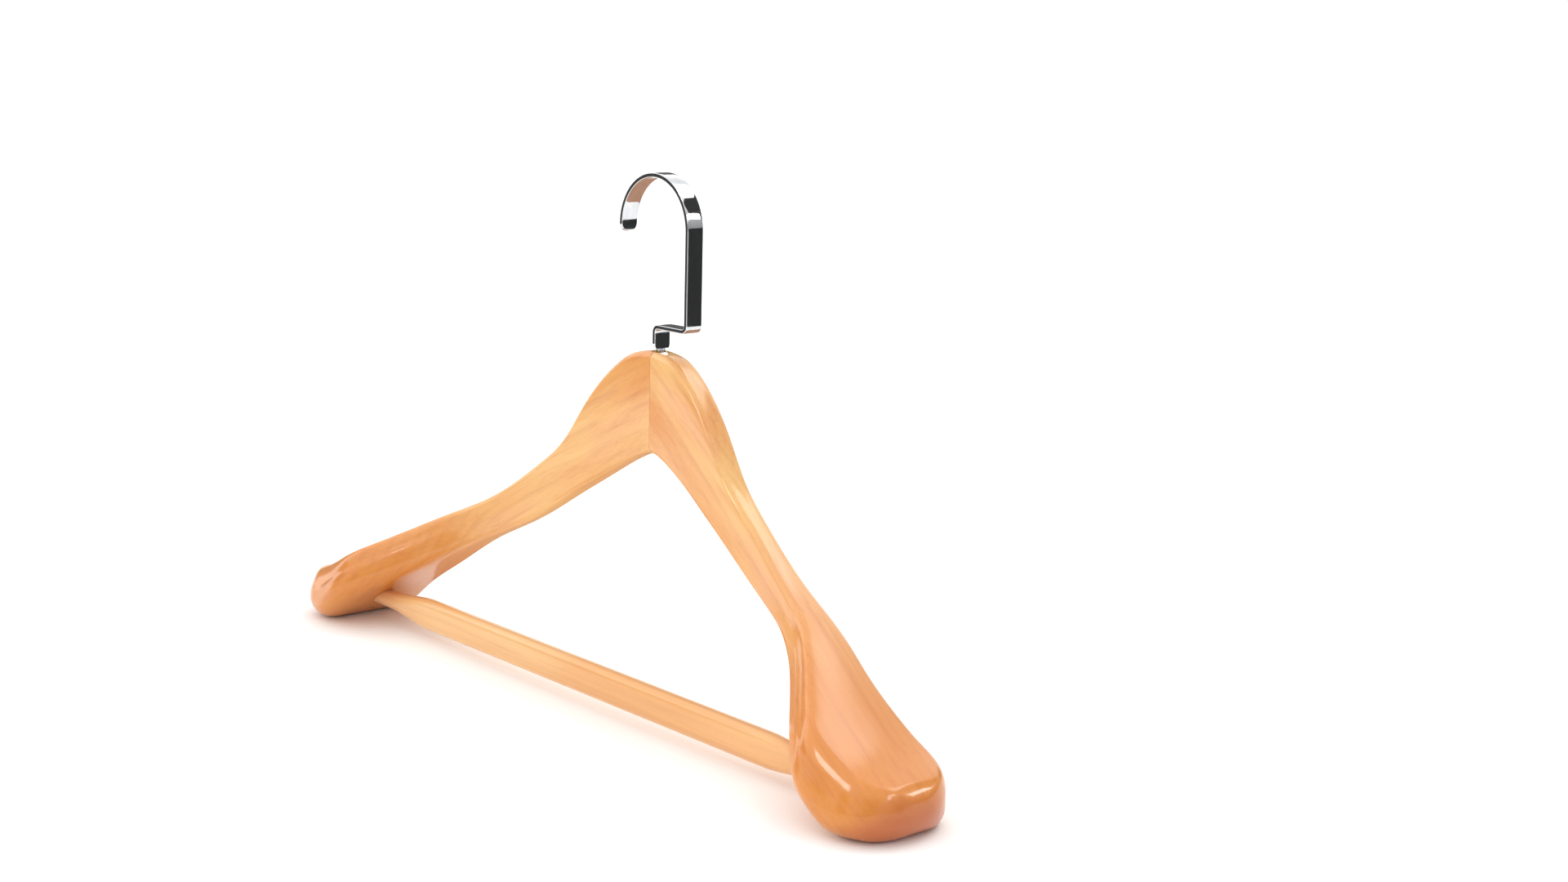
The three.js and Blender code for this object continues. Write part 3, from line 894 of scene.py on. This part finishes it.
WINDOW_DISTANCE = 1.6
WINDOW_AIM = Vector((0, 0, 0.1))
CARD_AIM = Vector((0, HEAD_Y * MM, 0.2))


def sheet(name, low, high, height, material):
    """Flat rectangle between two corners at a height, in millimetres."""
    corners = [(low[0], low[1]), (high[0], low[1]), (high[0], high[1]), (low[0], high[1])]
    obj = new_piece(name, [(x, y, height) for x, y in corners], [(0, 1, 2, 3)])
    obj.data.materials.append(material)
    return obj


def floor():
    """White floor that the hanger stands on."""
    reach = 40000
    sheet("floor", (-reach, -reach), (reach, reach), 0, floor_paint("floor_paint"))


def backdrop():
    """White wall all round, far off, that only the camera sees."""
    radius = 12000
    below = -10
    height = 14000
    steps = 96
    turns = [2 * math.pi * k / steps for k in range(steps)]
    circle = [(radius * math.cos(turn), radius * math.sin(turn)) for turn in turns]
    points = [(x, y, z) for z in (below, height) for x, y in circle]
    faces = []
    for k in range(steps):
        beside = (k + 1) % steps
        faces.append((k, beside, beside + steps, k + steps))
    wall = new_piece("backdrop", points, faces)
    nodes = Nodes("backdrop_white")
    nodes.set(Base_Color=(0, 0, 0, 1), Specular_IOR_Level=0.0)
    nodes.set(Emission_Color=(1.0, 1.0, 1.0, 1), Emission_Strength=1.05)
    wall.data.materials.append(nodes.material)
    wall.visible_diffuse = False
    wall.visible_glossy = False
    wall.visible_transmission = False
    wall.visible_shadow = False


def direction(azimuth, elevation):
    """Unit vector at two angles. Azimuth 0 is in front of the hanger, and 90 on its right."""
    turn = math.radians(azimuth)
    rise = math.radians(elevation)
    level = math.cos(rise)
    return Vector((math.sin(turn) * level, -math.cos(turn) * level, math.sin(rise)))


def world_light(middle, swing, towards, glows):
    """White surroundings, brighter towards one direction, with soft-edged glows in a few others.
    A glow is an azimuth, an elevation, the angles where it fades out and is full, and a strength."""
    world = bpy.data.worlds.new("studio")
    world.use_nodes = True
    tree = world.node_tree
    background = tree.nodes["Background"]
    background.inputs["Color"].default_value = (1.0, 0.995, 0.985, 1)
    outward = tree.nodes.new("ShaderNodeTexCoord").outputs["Generated"]

    def facing(vector):
        share = tree.nodes.new("ShaderNodeVectorMath")
        share.operation = "DOT_PRODUCT"
        share.inputs[1].default_value = Vector(vector).normalized()
        tree.links.new(outward, share.inputs[0])
        return share.outputs["Value"]

    base = tree.nodes.new("ShaderNodeMath")
    base.operation = "MULTIPLY_ADD"
    base.inputs[1].default_value = swing
    base.inputs[2].default_value = middle
    tree.links.new(facing(towards), base.inputs[0])
    total = base.outputs[0]
    for azimuth, elevation, fade, full, strength in glows:
        spread = tree.nodes.new("ShaderNodeMapRange")
        spread.interpolation_type = "SMOOTHSTEP"
        spread.inputs["From Min"].default_value = math.cos(math.radians(fade))
        spread.inputs["From Max"].default_value = math.cos(math.radians(full))
        spread.inputs["To Max"].default_value = strength
        tree.links.new(facing(direction(azimuth, elevation)), spread.inputs["Value"])
        added = tree.nodes.new("ShaderNodeMath")
        tree.links.new(total, added.inputs[0])
        tree.links.new(spread.outputs["Result"], added.inputs[1])
        total = added.outputs[0]
    tree.links.new(total, background.inputs["Strength"])
    bpy.context.scene.world = world


def stand_facing(obj, azimuth, elevation, distance, aim, front):
    """Puts obj at a distance from aim, with its front axis turned to it."""
    obj.location = aim + distance * direction(azimuth, elevation)
    obj.rotation_euler = (aim - obj.location).to_track_quat(front, "Y").to_euler()


def gleam(name, azimuth, elevation, width, height, power):
    """Window beside the hanger, which lights only its gloss."""
    data = bpy.data.lights.new(name, "AREA")
    data.shape = "RECTANGLE"
    data.size = width
    data.size_y = height
    data.energy = power
    lamp = bpy.data.objects.new(name, data)
    bpy.context.scene.collection.objects.link(lamp)
    stand_facing(lamp, azimuth, elevation, WINDOW_DISTANCE, WINDOW_AIM, "-Z")
    lamp.visible_diffuse = False


def hide_but_in_reflections(card):
    """Leaves the card to be seen by mirrors and gloss alone."""
    card.visible_camera = False
    card.visible_diffuse = False
    card.visible_shadow = False
    card.visible_transmission = False


def floor_card(name, low, high, colour):
    """Matt sheet just above the floor that shows only in reflections."""
    height = 1
    hide_but_in_reflections(sheet(name, low, high, height, matt(name, colour)))


def dark_card(name, azimuth, elevation, distance, width, height, grey):
    """Matt card round the hook that shows only in reflections, to give bright metal its darks."""
    half_width = width / 2 / MM
    half_height = height / 2 / MM
    paint = matt(name, (grey, grey, grey, 1))
    card = sheet(name, (-half_width, -half_height), (half_width, half_height), 0, paint)
    stand_facing(card, azimuth, elevation, distance, CARD_AIM, "Z")
    hide_but_in_reflections(card)


def camera():
    """The view from the right and a little above, very slightly rolled."""
    azimuth = 48.27
    elevation = 10.88
    roll = 1.45
    place = (0.7781, -0.5827, 0.3117)
    turn = math.radians(azimuth)
    tilt = math.radians(roll)
    back = direction(azimuth, elevation)
    level = Vector((math.cos(turn), math.sin(turn), 0))
    up = back.cross(level)
    right = math.cos(tilt) * level + math.sin(tilt) * up
    over = -math.sin(tilt) * level + math.cos(tilt) * up
    data = bpy.data.cameras.new("camera")
    data.sensor_width = 36
    data.lens = 49.38
    data.clip_end = 200
    obj = bpy.data.objects.new("camera", data)
    bpy.context.scene.collection.objects.link(obj)
    axes = Matrix((right, over, back)).transposed().to_4x4()
    obj.matrix_world = Matrix.Translation(place) @ axes
    bpy.context.scene.camera = obj


def studio():
    """Floor, wall, lights, the cards that the hanger reflects, and the camera."""
    floor()
    backdrop()
    behind = (228, 0, 45, 23, 0.6)
    above_behind = (176, 57, 18, 4, 3.6)
    left_front = (-66, 8, 40, 6, 1.0)
    world_light(0.62, 0.84, (-0.25, -0.2, 0.95), (behind, above_behind, left_front))
    gleam("right_window", 84, 24, 0.6, 0.5, 7)
    gleam("front_window", -6, 38, 0.35, 0.42, 5)
    gleam("end_window", 134, 25, 0.4, 0.25, 4)
    dark_card("side_card", 132, -4.5, 0.9, 0.5, 0.25, 0.03)
    dark_card("arch_card", 150, 32, 0.9, 0.5, 0.5, 0.04)
    dark_card("back_card", 228, 14, 0.9, 0.5, 0.35, 0.12)
    floor_card("wood_card", (-450, 30), (120, 600), (0.44, 0.25, 0.17, 1))
    dark_card("edge_card", -48, -2, 0.9, 0.46, 0.44, 0.07)
    for azimuth in (0, 45, 90, 180, 270):
        dark_card(f"flag_{azimuth}", azimuth, 0, 0.95, 0.36, 0.55, 0.08)
    camera()
    bpy.context.scene.view_settings.view_transform = "Standard"


build_hanger()
studio()
